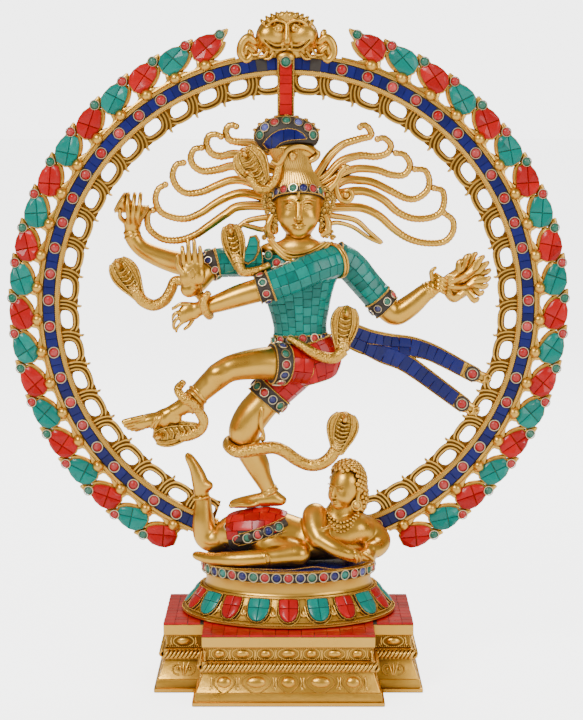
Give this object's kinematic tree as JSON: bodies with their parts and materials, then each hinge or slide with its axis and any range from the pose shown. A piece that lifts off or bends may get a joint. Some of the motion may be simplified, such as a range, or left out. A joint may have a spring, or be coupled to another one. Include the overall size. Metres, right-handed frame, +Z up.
{
  "type": "brass dancing figure statue",
  "caption": "Cast brass four-armed dancing figure in a ring of flames, with stone inlay and gem bands, on an oval lotus seat and a stepped pedestal.",
  "frame": {"origin": "middle of the pedestal's foot, on the surface it stands on", "axes": "+Z up, the front faces -Y, +X to the viewer's right"},
  "size_m": [0.4266, 0.164, 0.503],
  "materials": {
    "brass": "satin cast and filed brass, brighter on edges, brown in the recesses",
    "turquoise": "polished turquoise-coloured stone tiles in dark mastic",
    "coral": "polished coral-red stone tiles in dark mastic",
    "lapis": "polished deep blue stone tiles in dark mastic",
    "mastic": "black mastic set with round stones in wire rims",
    "steel": "plain zinc-coated steel fixings, out of sight"
  },
  "bodies": {
    "root": {"ankle_snake": "brass", "arch_lattice": "brass", "arch_ring": "brass", "arch_screw_left": "steel", "arch_screw_right": "steel", "arm_cobra": "brass", "belt_gem_band": "mastic", "coral_deck_inlay": "coral", "coral_shorts_inlay": "coral", "crossing_arm": "brass", "crossing_arm_gem_cuff": "mastic", "crossing_arm_sleeve_inlay": "turquoise", "crown_cobra": "brass", "crown_gem_cap": "mastic", "crown_strap": "brass", "drum_arm": "brass", "drum_arm_gem_cuff": "mastic", "drum_arm_sleeve_inlay": "turquoise", "dwarf_body": "brass", "dwarf_coral_shorts": "coral", "dwarf_head": "brass", "figure_stud": "steel", "flame_arm": "brass", "flame_arm_gem_cuff": "mastic", "flame_arm_sleeve_inlay": "turquoise", "flame_in_hand": "brass", "flame_row_left": "brass", "flame_row_right": "brass", "hair_fan_left": "brass", "hair_fan_right": "brass", "head": "brass", "headband_gem_band": "mastic", "hourglass_drum": "brass", "knee_cobra": "brass", "lapis_floor_inlay": "lapis", "lion_mask": "brass", "lotus_skirt": "brass", "oval_plinth": "brass", "pedestal_casting": "brass", "petal_stone_inlay": "turquoise", "plinth_gem_band": "mastic", "raised_hand_arm": "brass", "raised_hand_arm_gem_cuff": "mastic", "raised_hand_arm_sleeve_inlay": "turquoise", "raised_leg": "brass", "raised_thigh_gem_cuff": "mastic", "ring_stone_inlay": "lapis", "sash_casting": "brass", "sash_lapis_inlay": "lapis", "seat_screw_1": "steel", "seat_screw_2": "steel", "shoulder_cobra": "brass", "standing_leg": "brass", "standing_thigh_gem_cuff": "mastic", "strap_coral_inlay": "coral", "stud_nut": "steel", "torso_casting": "brass", "torso_turquoise_inlay": "turquoise", "waist_cobra": "brass"}
  },
  "joints": []
}
